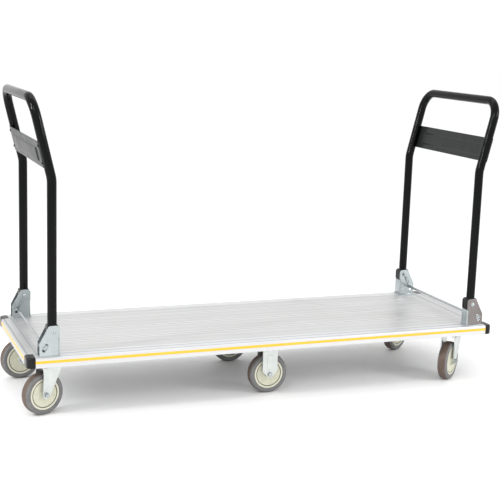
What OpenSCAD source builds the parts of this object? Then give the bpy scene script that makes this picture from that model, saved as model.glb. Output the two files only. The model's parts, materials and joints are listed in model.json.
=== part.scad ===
// Folding platform cart: an aluminium deck on six casters, with a folding push handle at each end.
// +X runs along the deck, +Y across it and +Z up. The origin is on the floor under the deck's centre.
// "Outboard" is away from the deck's middle along X, and "trail" is how far a wheel follows its swivel.

/* [Deck] */
// Length of the deck
deck_l = 1524; // [1500:2:1800]
// Width of the deck
deck_w = 508; // [500:2:560]
// Height of the load surface above the floor
deck_z = 186; // [180:1:200]
// Height of the edge rails
rail_h = 30; // [28:1:36]
// Width of a rail's top flange
rail_flange = 40; // [38:1:46]
// Wall thickness of the rails and planks
wall = 3; // [2.5:0.5:3]
// Radius of a rail's upper outside edge
rail_r = 6; // [4:1:8]
// Height of the coloured edge strip
strip_h = 8; // [4:0.5:9]
// Depth of the strip's groove
strip_t = 1.2; // [1:0.1:1.6]
// Distance from the load surface down to the strip's middle
strip_drop = 13.2; // [12:0.2:16]
// Length of a corner cap along the sides
cap_x = 24; // [20:1:30]
// Length of a corner cap along the ends
cap_y = 44; // [28:1:60]
// Radius of a corner cap's upright edge
cap_r = 16; // [8:1:20]
// Width of a full deck plank
plank_w = 118; // [100:1:140]
// Depth of a plank
plank_h = 14; // [10:1:16]

/* [Handles] */
// Distance from the deck's end to a handle leg
leg_in = 75; // [73:1:85]
// Distance from the deck's side to a handle leg
leg_side = 24; // [22:1:30]
// Outside diameter of the handle tube
tube_d = 27.2; // [22:0.1:27.6]
// Wall thickness of the handle tube
tube_wall = 1.8; // [1.2:0.1:2.5]
// Height of the handle's bend above the deck
bend_h = 505; // [460:5:560]
// Angle by which the upper handle leans outboard
kick = 13.5; // [8:0.5:18]
// Length from the bend to the middle of the top bar
upper_l = 230; // [200:5:260]
// Centreline radius of the top corners
corner_r = 58; // [45:1:80]
// Centreline radius of the bend
bend_r = 90; // [60:5:140]
// Height of the panel along the legs
panel_h = 77; // [60:1:90]
// Distance from the bend to the panel's lower edge
panel_up = 35.5; // [30:0.5:50]
// Sheet thickness of the panel
panel_t = 1.5; // [1:0.1:2]
// How far the panel's raised rectangle stands out
emboss = 4; // [2:0.5:6]

/* [Hinges] */
// Height of the handle's pivot above the deck
pivot_h = 72; // [71:0.5:73]
// Radius of the pivot pin
pin_r = 5; // [4:0.5:6]
// Half the outside width of a bracket's channel
channel_y = 18; // [18:0.5:19]
// Height of a bracket
bracket_h = 90; // [86:1:94]
// Height of a bracket's inboard web
web_h = 54; // [40:1:54]
// Half the length of the knuckle along X
knuckle_x = 17; // [15:0.5:17]
// Height of the knuckle's lower face above the deck
knuckle_z = 53; // [53:0.5:55]
// Height of the knuckle
knuckle_h = 38; // [34:1:42]
// How far the lock rod sits outboard of the leg
rod_o = 22; // [21:1:24]
// Height of the lock rod above the deck
rod_h = 28; // [26:1:30]
// Radius of the lock rod
rod_r = 4.5; // [4:0.5:5]
// Travel of the lock rod when it is pressed down
rod_travel = 10; // [6:1:10]

/* [Casters] */
// Radius of a wheel
wheel_r = 62.5; // [60:0.5:62.5]
// Width of a tyre
tyre_w = 32; // [28:1:34]
// Radius where the tyre meets the hub
hub_r = 47; // [44:1:49]
// Distance from the deck's end to a swivel axis
swivel_in = 95.5; // [90:0.5:160]
// Distance from the deck's side to a swivel axis
swivel_side = 77.2; // [74:0.2:90]
// Distance from the deck's side to a fixed caster
fixed_side = 78.8; // [74:0.2:90]
// Trail of a swivel caster
trail = 44; // [36:1:45]
// Direction of the front left wheel, from the deck's length
turn_front_left = 20; // [-180:1:180]
// Direction of the front right wheel
turn_front_right = 40; // [-180:1:180]
// Direction of the rear left wheel
turn_rear_left = 8; // [-180:1:180]
// Direction of the rear right wheel
turn_rear_right = 31; // [-180:1:180]

/* [Hidden] */
$fn = 64;

eps = 0.01;
run_gap = 0.06;             // radial clearance of a shaft that turns
half_l = deck_l / 2;
half_w = deck_w / 2;
leg_x = half_l - leg_in;
leg_y = half_w - leg_side;
swivel_x = half_l - swivel_in;
swivel_y = half_w - swivel_side;
fixed_y = half_w - fixed_side;
rail_z = deck_z - rail_h;   // underside of the rails
lip = 24;                   // width of a rail's lower flange
line_in = 6.5;              // distance of the top scribe line from a rail's outer face
line_w = 1;
field_y = half_w - rail_flange;        // half width between the top flanges
field_x = half_l - rail_flange;
seam = 1.2;                 // chamfer along a plank's upper edges
rib_t = 2.5;                // thickness of a plank's ribs
groove_in = 20;             // first fine groove, from a plank's edge
groove_step = 58;
groove_w = 0.8;
groove_d = 0.5;
bar_w = 110;                // width of a crossbar
bar_z = rail_z + wall;      // underside of a crossbar
bar_h = deck_z - plank_h - bar_z;
base_over = 2;              // how far a bracket's base stands past its channel
base_in = 21;               // inboard reach of a bracket's base
base_out = 41;              // outboard reach of a bracket's base
side_in = 19;               // inboard reach of a bracket's sides
side_out = 39;              // outboard reach of a bracket's sides
side_top = 12;              // outboard reach of a bracket's top edge
side_knee = 39;             // height where a bracket's outboard edge starts to slope
bolt_o = [-6, 26];          // places of a bracket's bolts, outboard of the leg
m6_r = 3;
m6_hex = 5.8;               // half the width of an M6 head across its corners
m8_r = 4;
m8_hex = 7.4;
hole_gap = 0.2;             // radial clearance of a bolt hole
spring_span = norm([rod_o, rod_h - pivot_h]);
rod_dir = [rod_o, rod_h - pivot_h] / spring_span;
rod_end = leg_y + channel_y + 4.5;     // half the length of the lock rod
slot_r = rod_r + 0.3;
slot_room = 6;              // room in a slot above the resting lock rod
washer_gap = 0.4;           // gap between a bracket and the washer beside it
washer_r = 8.5;
washer_t = 1.3;
push_nut_r = 6.4;
push_nut_t = 1.8;
stub_r = 4;                 // inner end of a pivot pin, which holds the spring
stub_l = 10;
spring_r = 4.2;
spring_wire = 1.3;
spring_hook = 10;           // length of the hook at each end of a spring
spring_y = leg_y - channel_y - stub_l / 2;
bend_z = deck_z + bend_h;
bend_t = bend_r * tan(kick / 2);
tube_r = tube_d / 2;
rivet_up = [panel_up + 14, panel_up + panel_h - 14];
rivet_r = 2.4;
plate_t = 3.5;              // thickness of a caster's top plate
plate_x = 100;
plate_y = 86;
plate_z = bar_z - plate_t;  // underside of a caster's top plate
bolt_x = 40;
bolt_y = 33;
fork_t = 3.5;               // thickness of a fork's sheet
fork_in = 21;               // half the gap between a fork's legs
fork_out = fork_in + fork_t;
crown_z = 147;              // top of a swivel fork's crown
crown_t = 4;
crown_r = 30;               // radius of a swivel fork's crown and of the upper ball race
seat_r = 26;                // radius of the raised lower ball race
seat_h = 2.5;
race_t = 3;                 // thickness of the upper race's skirt
race_top = 153;             // height of the hollow inside the upper race
fork_back = -11;            // back edge of a fork's leg at the crown, along its trail
fork_front = 52;            // front edge of a fork's leg at the crown, along its trail
boss_r = 12;                // radius of a fork leg's lower end
axle_r = m8_r;
axle_gap = 0.1;
sleeve_r = 6;
race_r = 21;                // radius of the ring of balls
ball_r = 2.4;
ball_z = 151;
ball_gap = 0.3;             // radial clearance of the balls in their races
balls = 14;
king_r = 6;
king_z = 138;               // lower end of a kingpin
king_head_r = 10;
king_gap = 0.4;             // gap between a kingpin's head and the crown

// ---- Shared shapes ----

// A quadrant copy: moves its children to one of the four corners of the XY plane.
module corner(sx, sy) {
    mirror([sx < 0 ? 1 : 0, 0, 0]) mirror([0, sy < 0 ? 1 : 0, 0]) children();
}

// Both sides of the deck, front and rear.
module both_y() {
    children();
    mirror([0, 1, 0]) children();
}

// A rectangle of size w by h about the origin, with corners of radius r.
module round_rect(w, h, r) {
    square([w - 2 * r, h], center = true);
    square([w, h - 2 * r], center = true);
    for (x = [-1, 1], y = [-1, 1]) translate([x * (w / 2 - r), y * (h / 2 - r)]) circle(r = r);
}

// A cylinder along Y between y0 and y1.
module rod_y(r, y0, y1) {
    translate([0, y1, 0]) rotate([90, 0, 0]) cylinder(r = r, h = y1 - y0);
}

// A slot from the origin along direction d for length l, with half width r, in the XY plane.
module slot_2d(r, d, l) {
    circle(r = r);
    translate(d * l) circle(r = r);
    rotate(atan2(d[1], d[0])) translate([0, -r]) square([l, 2 * r]);
}

// Turns an outline drawn in (outboard, height) so that it stands up and is as thick as y0 to y1.
module upright(y0, y1) {
    translate([0, y1, 0]) rotate([90, 0, 0]) linear_extrude(height = y1 - y0) children();
}

// A hexagon head of radius r and height h.
module hex(r, h) {
    cylinder(r = r, h = h, $fn = 6);
}

// A dome of base radius r and height h on the XY plane.
module dome(r, h) {
    ball = (r * r + h * h) / (2 * h);
    difference() {
        translate([0, 0, h - ball]) sphere(r = ball);
        translate([-ball - 1, -ball - 1, -2 * ball - 1]) cube([2 * ball + 2, 2 * ball + 2, 2 * ball + 1]);
    }
}

// ---- Deck ----

// Outline of a rail that is as deep as given: X is the distance in from its outer face, and Y is the
// height above its underside.
module rail_outline(depth) {
    difference() {
        square([depth, rail_h]);
        translate([0, rail_h - rail_r]) square(rail_r);
    }
    translate([rail_r, rail_h - rail_r]) circle(r = rail_r);
}

// Section of a rail: a channel open inwards, grooved outside for the strip and on top for looks.
module rail_section() {
    difference() {
        rail_outline(rail_flange);
        translate([wall, wall]) square([rail_flange, rail_h - 2 * wall]);
        translate([lip, -1]) square([rail_flange, rail_h - wall + 1]);
        translate([-1, rail_h - strip_drop - strip_h / 2]) square([strip_t + 1, strip_h]);
        translate([line_in, rail_h - line_w]) square([line_w, 2 * line_w]);
    }
}

// A mitred rail of length l whose outer face is at -Y. Its ends leave room for the corner caps, which
// reach cap_in across it and cap_along along it.
module rail(l, out, cap_along, cap_in) {
    difference() {
        translate([-l / 2, -out, rail_z]) rotate([90, 0, 90]) linear_extrude(height = l) rail_section();
        for (s = [0, 1]) mirror([s, 0, 0]) {
            translate([l / 2, -out, rail_z - 1]) linear_extrude(height = rail_h + 2)
                polygon([[-rail_flange, rail_flange], [1, -1], [rail_flange, 2 * rail_flange],
                    [-rail_flange, 2 * rail_flange]]);
            translate([l / 2 - cap_along, -out - 1, rail_z - 1])
                cube([cap_along + 1, cap_in + 1, rail_h + 2]);
        }
    }
}

module side_rail() {
    color([0.8, 0.81, 0.82]) difference() {
        rail(deck_l, half_w, cap_x, cap_y);
        for (s = [-1, 1], o = bolt_o) translate([s * (leg_x + o), -leg_y, deck_z - 2 * wall])
            cylinder(r = m6_r + hole_gap, h = 3 * wall);
    }
}

module front_rail() {
    side_rail();
}

module rear_rail() {
    mirror([0, 1, 0]) side_rail();
}

module right_end_rail() {
    color([0.8, 0.81, 0.82]) rotate([0, 0, 90])
        rail(deck_w, half_l, cap_y, cap_x);
}

module left_end_rail() {
    mirror([1, 0, 0]) right_end_rail();
}

// The coloured strip that lies in the groove of each rail.
module edge_strips() {
    color([0.95, 0.78, 0.15]) {
        z = deck_z - strip_drop - strip_h / 2;
        for (s = [-1, 1]) {
            translate([-half_l + cap_x, s * (half_w - strip_t / 2) - strip_t / 2, z])
                cube([deck_l - 2 * cap_x, strip_t, strip_h]);
            translate([s * (half_l - strip_t / 2) - strip_t / 2, -half_w + cap_y, z])
                cube([strip_t, deck_w - 2 * cap_y, strip_h]);
        }
    }
}

// Plan of a corner cap, with its outer corner at the origin.
module cap_plan() {
    difference() {
        translate([-cap_x, -cap_y]) square([cap_x, cap_y]);
        translate([-cap_r, -cap_r]) difference() {
            square(cap_r + 1);
            circle(r = cap_r);
        }
    }
}

// A block that closes the corner, with a round upright edge and upper edges as round as the rails'.
module corner_caps() {
    reach = max(cap_x, cap_y) + 1;
    color([0.06, 0.06, 0.06]) for (sx = [-1, 1], sy = [-1, 1]) corner(sx, sy)
        translate([half_l, half_w, rail_z]) intersection() {
            linear_extrude(height = rail_h) cap_plan();
            rotate([90, 0, -90]) linear_extrude(height = reach) rail_outline(reach);
            mirror([1, 0, 0]) rotate([90, 0, 0]) linear_extrude(height = reach) rail_outline(reach);
        }
}

// Section of a plank of width w: a flat top with chamfered edges and fine grooves, on ribs.
module plank_section(w) {
    difference() {
        polygon([[0, plank_h - wall], [w, plank_h - wall], [w, plank_h - seam], [w - seam, plank_h],
            [seam, plank_h], [0, plank_h - seam]]);
        for (x = [groove_in : groove_step : w - groove_in / 2]) translate([x, plank_h - groove_d])
            square([groove_w, groove_d + 1]);
    }
    for (x = [0, (w - rib_t) / 2, w - rib_t]) translate([x, 0]) square([rib_t, plank_h - wall + eps]);
}

// Full planks from the front rail, and a last one cut to the width that is left.
module deck_planks() {
    count = ceil(2 * field_y / plank_w);
    color([0.78, 0.79, 0.8]) for (i = [0 : count - 1]) {
        w = min(plank_w, 2 * field_y - i * plank_w);
        translate([-field_x, -field_y + i * plank_w, deck_z - plank_h])
            rotate([90, 0, 90]) linear_extrude(height = 2 * field_x) plank_section(w);
    }
}

// Flat box beams across the frame, one over each pair of casters.
module crossbars() {
    color([0.62, 0.63, 0.65]) for (x = [-swivel_x, 0, swivel_x]) translate([x, 0, bar_z]) difference() {
        translate([-bar_w / 2, -half_w + wall, 0]) cube([bar_w, deck_w - 2 * wall, bar_h]);
        translate([-bar_w / 2 + wall, -half_w, wall]) cube([bar_w - 2 * wall, deck_w, bar_h - 2 * wall]);
        for (bx = [-1, 1], by = [-1, 1], side = [-1, 1])
            translate([bx * bolt_x, side * (x == 0 ? fixed_y : swivel_y) + by * bolt_y, -1])
                cylinder(r = m8_r + hole_gap, h = wall + 2);
    }
}

// ---- Hinge brackets ----

// Outline of a bracket's side, in (outboard, height).
module bracket_side() {
    round_in = 8;
    difference() {
        union() {
            polygon([[-side_in, 0], [side_out, 0], [side_out, side_knee], [side_top, bracket_h],
                [-side_in + round_in, bracket_h], [-side_in, bracket_h - round_in]]);
            translate([-side_in + round_in, bracket_h - round_in]) circle(r = round_in);
        }
        translate([0, pivot_h]) circle(r = pin_r);
        translate([rod_o, rod_h] - slot_room * rod_dir) slot_2d(slot_r, rod_dir, slot_room + rod_travel);
    }
}

// A pressed channel on a base: two sides, a low web inboard, and holes for the pin, rod and bolts.
module bracket() {
    color([0.72, 0.76, 0.8]) translate([leg_x, leg_y, deck_z]) {
        for (s = [-1, 1]) translate([0, s * (channel_y - wall / 2), 0]) upright(-wall / 2, wall / 2)
            bracket_side();
        translate([-side_in, -channel_y, 0]) cube([wall, 2 * channel_y, web_h]);
        difference() {
            translate([-base_in, -channel_y - base_over, 0])
                cube([base_in + base_out, 2 * (channel_y + base_over), wall]);
            for (o = bolt_o) translate([o, 0, -1]) cylinder(r = m6_r + hole_gap, h = 3 * wall);
        }
    }
}

module left_front_bracket() { corner(-1, -1) bracket(); }
module left_rear_bracket() { corner(-1, 1) bracket(); }
module right_front_bracket() { corner(1, -1) bracket(); }
module right_rear_bracket() { corner(1, 1) bracket(); }

// Two bolts and nuts hold each bracket to its rail.
module bracket_bolts() {
    head_h = 4;
    nut_h = 5;
    end_h = nut_h + 2;
    color([0.7, 0.72, 0.74]) for (sx = [-1, 1], sy = [-1, 1]) corner(sx, sy) for (o = bolt_o)
        translate([leg_x + o, leg_y, deck_z]) {
            translate([0, 0, wall]) hex(m6_hex, head_h);
            translate([0, 0, -wall - end_h]) cylinder(r = m6_r, h = 2 * wall + end_h + eps);
            translate([0, 0, -wall - nut_h]) hex(m6_hex, nut_h);
        }
}

// A domed rivet through bracket and knuckle, with a stub inboard that the spring hooks on.
module pivot_pins() {
    head_r = 6.5;
    head_h = 3;
    flange_r = 5.2;
    color([0.75, 0.78, 0.8]) both_y() translate([leg_x, leg_y, deck_z + pivot_h]) {
        rod_y(pin_r, -channel_y, channel_y);
        translate([0, channel_y, 0]) rotate([-90, 0, 0]) dome(head_r, head_h);
        rod_y(stub_r, -channel_y - stub_l, -channel_y);
        rod_y(flange_r, -channel_y - stub_l - 1, -channel_y - stub_l);
    }
}

module right_pivot_pins() { pivot_pins(); }
module left_pivot_pins() { mirror([1, 0, 0]) pivot_pins(); }

// Coil bodies of the extension springs that pull the lock rod up to the knuckles.
module latch_springs() {
    color([0.7, 0.72, 0.75]) both_y() translate([leg_x, spring_y, deck_z + pivot_h])
        rotate([0, atan2(rod_dir[0], rod_dir[1]), 0]) translate([0, 0, spring_hook]) difference() {
            cylinder(r = spring_r, h = spring_span - 2 * spring_hook);
            translate([0, 0, -1]) cylinder(r = spring_r - spring_wire, h = spring_span);
        }
}

module right_latch_springs() { latch_springs(); }
module left_latch_springs() { mirror([1, 0, 0]) latch_springs(); }

// The rod that runs across the cart through the slots of both brackets.
module lock_rod() {
    color([0.8, 0.81, 0.82]) translate([leg_x + rod_o, 0, deck_z + rod_h]) rod_y(rod_r, -rod_end, rod_end);
}

module right_lock_rod() { lock_rod(); }
module left_lock_rod() { mirror([1, 0, 0]) lock_rod(); }

// A washer and a push-on nut on each end of the lock rod.
module rod_washers() {
    y = leg_y + channel_y + washer_gap;
    total = washer_t + push_nut_t;
    color([0.8, 0.81, 0.82]) both_y() translate([leg_x + rod_o, y, deck_z + rod_h]) difference() {
        union() {
            rod_y(washer_r, 0, washer_t);
            rod_y(push_nut_r, washer_t, total);
        }
        rod_y(rod_r, -1, total + 1);
    }
}

module right_rod_washers() { rod_washers(); }
module left_rod_washers() { mirror([1, 0, 0]) rod_washers(); }

// ---- Handles ----

module ring_2d(r, t) {
    difference() {
        circle(r = r);
        circle(r = r - t);
    }
}

// Moves its children into the leaning plane of the upper handle, with the bend at the origin.
module leaning() {
    translate([leg_x, 0, bend_z]) rotate([0, kick, 0]) children();
}

// Solid of radius r along the handle's centreline: legs, outboard bends, top corners and top bar.
// It is drawn as two halves whose bars overlap a little in the middle.
module handle_path(r, foot) {
    straight = upper_l - corner_r - bend_t;
    overlap = 1;
    both_y() {
        translate([leg_x, leg_y, foot]) cylinder(r = r, h = bend_z - bend_t - foot);
        translate([leg_x + bend_r, leg_y, bend_z - bend_t]) rotate([90, 0, 0]) rotate(180 - kick) {
            rotate_extrude(angle = kick, $fn = 128) translate([bend_r, 0]) circle(r = r);
            translate([bend_r, 0, 0]) rotate([90, 0, 0]) {
                cylinder(r = r, h = straight);
                translate([0, corner_r, straight]) rotate([90, 0, 90]) rotate(90)
                    rotate_extrude(angle = 90, $fn = 128) translate([corner_r, 0]) circle(r = r);
                translate([0, corner_r, straight + corner_r]) rotate([-90, 0, 0])
                    cylinder(r = r, h = leg_y - corner_r + overlap);
            }
        }
    }
}

// One bent tube, with holes for the pivot pins and the panel's rivets.
module handle_tube() {
    foot = deck_z + knuckle_z + 1;
    color([0.05, 0.05, 0.05]) difference() {
        handle_path(tube_r, foot);
        handle_path(tube_r - tube_wall, foot - 1);
        both_y() translate([leg_x, leg_y, deck_z + pivot_h]) rod_y(pin_r + run_gap, -tube_d, tube_d);
        leaning() for (y = [-leg_y, leg_y], z = rivet_up) translate([0, y, z]) rotate([0, 90, 0])
            cylinder(r = rivet_r, h = tube_d);
    }
}

module right_handle_tube() { handle_tube(); }
module left_handle_tube() { mirror([1, 0, 0]) handle_tube(); }

// A pressed sheet on the outboard side of the legs, curled round them, with a raised rectangle.
module handle_panel() {
    curl = 45;
    rect_y = 2 * (leg_y - 38);
    rect_z = panel_h - 32;
    rect_mid = panel_h / 2 - 3;
    far = 2 * tube_d;
    color([0.1, 0.1, 0.1]) leaning() translate([0, 0, panel_up]) difference() {
        union() {
            linear_extrude(height = panel_h) {
                translate([tube_r, -leg_y]) square([panel_t, 2 * leg_y]);
                for (s = [-1, 1]) translate([0, s * leg_y]) intersection() {
                    ring_2d(tube_r + panel_t, panel_t);
                    polygon([[0, 0], [far, 0], [far, s * far * tan(curl)]]);
                }
            }
            translate([tube_r + (panel_t + emboss) / 2, 0, rect_mid])
                cube([panel_t + emboss, rect_y, rect_z], center = true);
        }
        translate([tube_r + emboss / 2 - 1, 0, rect_mid])
            cube([emboss + 2, rect_y - 2 * panel_t, rect_z - 2 * panel_t], center = true);
        for (y = [-leg_y, leg_y], z = rivet_up) translate([0, y, z - panel_up]) rotate([0, 90, 0])
            cylinder(r = rivet_r, h = far);
    }
}

module right_handle_panel() { handle_panel(); }
module left_handle_panel() { mirror([1, 0, 0]) handle_panel(); }

// Four rivets hold the panel to the legs.
module panel_rivets() {
    head_r = 4.9;
    head_h = 2.5;
    grip = tube_wall + panel_t;
    color([0.08, 0.08, 0.08]) leaning() for (y = [-leg_y, leg_y], z = rivet_up)
        translate([tube_r - tube_wall, y, z]) rotate([0, 90, 0]) {
            cylinder(r = rivet_r, h = grip);
            translate([0, 0, grip]) dome(head_r, head_h);
        }
}

module right_panel_rivets() { panel_rivets(); }
module left_panel_rivets() { mirror([1, 0, 0]) panel_rivets(); }

// The moulded block on each leg's foot, which turns on the pivot pin.
module handle_knuckles() {
    half_y = channel_y - wall - 0.5;
    edge_r = 6;
    color([0.05, 0.05, 0.05]) both_y() translate([leg_x, leg_y, deck_z]) difference() {
        translate([0, 0, knuckle_z + knuckle_h / 2]) upright(-half_y, half_y)
            round_rect(2 * knuckle_x, knuckle_h, edge_r);
        translate([0, 0, knuckle_z + 1]) cylinder(r = tube_r, h = knuckle_h);
        translate([0, 0, pivot_h]) rod_y(pin_r + run_gap, -tube_d, tube_d);
    }
}

module right_handle_knuckles() { handle_knuckles(); }
module left_handle_knuckles() { mirror([1, 0, 0]) handle_knuckles(); }

// ---- Casters: each is drawn with its swivel axis on Z and its wheel trailing along +X ----

module at_front_left() { translate([-swivel_x, -swivel_y, 0]) rotate(180 + turn_front_left) children(); }
module at_front_right() { translate([swivel_x, -swivel_y, 0]) rotate(180 + turn_front_right) children(); }
module at_rear_left() { translate([-swivel_x, swivel_y, 0]) rotate(180 + turn_rear_left) children(); }
module at_rear_right() { translate([swivel_x, swivel_y, 0]) rotate(180 + turn_rear_right) children(); }
module at_front_middle() { translate([0, -fixed_y, 0]) children(); }
module at_rear_middle() { translate([0, fixed_y, 0]) children(); }

module top_plate() {
    translate([0, 0, plate_z]) linear_extrude(height = plate_t) difference() {
        round_rect(plate_x, plate_y, 8);
        for (x = [-1, 1], y = [-1, 1]) translate([x * bolt_x, y * bolt_y])
            circle(r = m8_r + hole_gap);
    }
}

// The groove that the balls run in.
module ball_race() {
    translate([0, 0, ball_z]) rotate_extrude() translate([race_r, 0]) circle(r = ball_r + ball_gap);
}

// Top plate with the upper ball race and the kingpin that is riveted into it.
module caster_plate() {
    skirt_z = crown_z + 0.6;
    color([0.75, 0.78, 0.8]) difference() {
        union() {
            top_plate();
            translate([0, 0, skirt_z]) cylinder(r = crown_r, h = plate_z - skirt_z + eps);
            translate([0, 0, king_z]) cylinder(r = king_r, h = plate_z - king_z);
            translate([0, 0, king_z]) cylinder(r = king_head_r, h = crown_z - crown_t - king_gap - king_z);
        }
        translate([0, 0, skirt_z - 1]) difference() {
            cylinder(r = crown_r - race_t, h = race_top - skirt_z + 1);
            cylinder(r = king_r, h = plate_z - skirt_z);
        }
        ball_race();
    }
}

module front_left_caster_plate() { translate([-swivel_x, -swivel_y, 0]) caster_plate(); }
module front_right_caster_plate() { translate([swivel_x, -swivel_y, 0]) caster_plate(); }
module rear_left_caster_plate() { translate([-swivel_x, swivel_y, 0]) caster_plate(); }
module rear_right_caster_plate() { translate([swivel_x, swivel_y, 0]) caster_plate(); }

// The ring of balls that carries each swivel.
module swivel_balls() {
    color([0.8, 0.8, 0.8]) for (sx = [-1, 1], sy = [-1, 1], i = [0 : balls - 1])
        translate([sx * swivel_x, sy * swivel_y, ball_z]) rotate(i * 360 / balls)
            translate([race_r, 0, 0]) sphere(r = ball_r);
}

// Four bolts and nuts hold each caster to its crossbar.
module caster_bolts() {
    head_h = 4;
    nut_h = bar_h - 2 * wall - 1.5;
    color([0.7, 0.72, 0.74]) for (x = [-swivel_x, 0, swivel_x], side = [-1, 1], bx = [-1, 1], by = [-1, 1])
        translate([x + bx * bolt_x, side * (x == 0 ? fixed_y : swivel_y) + by * bolt_y, plate_z]) {
            translate([0, 0, -head_h]) hex(m8_hex, head_h);
            cylinder(r = m8_r, h = bar_h + plate_t - wall - 1);
            translate([0, 0, plate_t + wall]) hex(m8_hex, nut_h);
        }
}

// Point where a line from p touches the circle of radius r about c.
function tangent_point(p, c, r) =
    let (a = atan2(p[1] - c[1], p[0] - c[0]) + acos(r / norm(p - c)))
    c + r * [cos(a), sin(a)];

// Outline of a swivel fork's leg in (trail, height): wide at the crown, and round at the axle.
module fork_leg_2d() {
    axle = [trail, wheel_r];
    polygon([[fork_back, crown_z], tangent_point([fork_back, crown_z], axle, boss_r), axle,
        [trail + boss_r, wheel_r], [fork_front, crown_z]]);
    translate(axle) circle(r = boss_r);
}

// Section of a fork across its trail: a channel with a round bend and an arched inside.
module fork_channel_2d() {
    arch = 12;
    top = crown_z - crown_t;
    difference() {
        translate([0, crown_z / 2]) round_rect(2 * fork_out, crown_z, 6);
        translate([-fork_in, -1]) square([2 * fork_in, top - arch + 1]);
        translate([-fork_in + arch, -1]) square([2 * (fork_in - arch), top + 1]);
        for (s = [-1, 1]) translate([s * (fork_in - arch), top - arch]) circle(r = arch);
    }
}

module swivel_fork() {
    color([0.75, 0.78, 0.8]) difference() {
        union() {
            intersection() {
                upright(-fork_out, fork_out) fork_leg_2d();
                translate([-2 * trail, 0, 0]) rotate([90, 0, 90])
                    linear_extrude(height = 4 * trail) fork_channel_2d();
            }
            translate([0, 0, crown_z - crown_t]) cylinder(r = crown_r, h = crown_t);
            translate([0, 0, crown_z - eps]) cylinder(r = seat_r, h = seat_h + eps);
        }
        translate([0, 0, crown_z - 2 * crown_t]) cylinder(r = king_r + run_gap, h = 4 * crown_t);
        ball_race();
        translate([trail, 0, wheel_r]) rod_y(axle_r + axle_gap, -2 * fork_out, 2 * fork_out);
    }
}

module front_left_fork() { at_front_left() swivel_fork(); }
module front_right_fork() { at_front_right() swivel_fork(); }
module rear_left_fork() { at_rear_left() swivel_fork(); }
module rear_right_fork() { at_rear_right() swivel_fork(); }

// Outline of a fixed fork's leg: straight sides, cut to a round point at the axle.
module fixed_leg_2d() {
    half = 24.5;
    slope_z = wheel_r + 11;
    tip_r = 9;
    tip_drop = 3;
    hole_x = 10.5;
    hole_down = 14.5;
    hole_r = 3;
    tip = [0, wheel_r - tip_drop];
    right = tangent_point([-half, slope_z], tip, tip_r);
    difference() {
        union() {
            polygon([[-half, plate_z + eps], [-half, slope_z], right, tip, [-right[0], right[1]],
                [half, slope_z], [half, plate_z + eps]]);
            translate(tip) circle(r = tip_r);
        }
        for (s = [-1, 1]) translate([s * hole_x, plate_z - hole_down]) circle(r = hole_r);
    }
}

// Fixed caster: top plate, two legs, and a pressed rib down each leg.
module fixed_fork() {
    rib_w = 18;
    rib_out = 1.2;
    rib_l = 44;
    rib_z = wheel_r + 18;
    color([0.78, 0.8, 0.82]) difference() {
        union() {
            top_plate();
            for (s = [0, 1]) mirror([0, s, 0]) {
                upright(fork_in, fork_out) fixed_leg_2d();
                translate([-rib_w / 2, fork_out - eps, rib_z]) cube([rib_w, rib_out, rib_l]);
            }
        }
        translate([0, 0, wheel_r]) rod_y(axle_r + axle_gap, -2 * fork_out, 2 * fork_out);
    }
}

module front_middle_fork() { at_front_middle() fixed_fork(); }
module rear_middle_fork() { at_rear_middle() fixed_fork(); }

// Axle bolt with its nut, and the bearing sleeve that is clamped between the fork's legs.
module axle(x) {
    head_h = 5;
    nut_h = 6.5;
    disc_r = 8;
    disc_t = 1.5;
    color([0.8, 0.82, 0.84]) translate([x, 0, wheel_r]) {
        rod_y(axle_r, -fork_out - eps, fork_out + nut_h + disc_t);
        rod_y(disc_r, -fork_out - disc_t, -fork_out);
        translate([0, -fork_out - disc_t, 0]) rotate([90, 0, 0]) hex(m8_hex, head_h);
        translate([0, fork_out, 0]) rotate([-90, 0, 0]) hex(m8_hex, nut_h);
        difference() {
            rod_y(sleeve_r, -fork_in, fork_in);
            rod_y(axle_r + axle_gap, -fork_out, fork_out);
        }
    }
}

module front_left_axle() { at_front_left() axle(trail); }
module front_right_axle() { at_front_right() axle(trail); }
module rear_left_axle() { at_rear_left() axle(trail); }
module rear_right_axle() { at_rear_right() axle(trail); }
module front_middle_axle() { at_front_middle() axle(0); }
module rear_middle_axle() { at_rear_middle() axle(0); }

// Section of a hub: X is the radius and Y the distance from the wheel's middle plane.
module hub_2d() {
    bore_r = sleeve_r + run_gap;
    boss_y = fork_in - 0.5;
    boss_t = 6;
    face_y = 14;
    rim_y = face_y + 1;
    rim_r = 41.2;
    groove_w = 2.2;
    groove_d = 3;
    difference() {
        union() {
            translate([bore_r, -boss_y]) square([boss_t, 2 * boss_y]);
            translate([bore_r, -face_y]) square([hub_r - bore_r, 2 * face_y]);
            translate([rim_r, -rim_y]) square([hub_r - rim_r, 2 * rim_y]);
        }
        for (s = [-1, 1]) translate([rim_r - groove_w, s * face_y - groove_d])
            square([groove_w, 2 * groove_d]);
    }
}

module hub(x) {
    color([0.78, 0.78, 0.7]) translate([x, 0, wheel_r]) rotate([90, 0, 0]) rotate_extrude($fn = 96)
        hub_2d();
}

module front_left_hub() { at_front_left() hub(trail); }
module front_right_hub() { at_front_right() hub(trail); }
module rear_left_hub() { at_rear_left() hub(trail); }
module rear_right_hub() { at_rear_right() hub(trail); }
module front_middle_hub() { at_front_middle() hub(0); }
module rear_middle_hub() { at_rear_middle() hub(0); }

// Section of a tyre, with round shoulders.
module tyre_2d() {
    shoulder = 7;
    translate([hub_r, -tyre_w / 2]) square([wheel_r - hub_r - shoulder, tyre_w]);
    translate([hub_r, -tyre_w / 2 + shoulder]) square([wheel_r - hub_r, tyre_w - 2 * shoulder]);
    for (s = [-1, 1]) translate([wheel_r - shoulder, s * (tyre_w / 2 - shoulder)]) circle(r = shoulder);
}

module tyre(x) {
    color([0.4, 0.38, 0.36]) translate([x, 0, wheel_r]) rotate([90, 0, 0]) rotate_extrude($fn = 96)
        tyre_2d();
}

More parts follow.
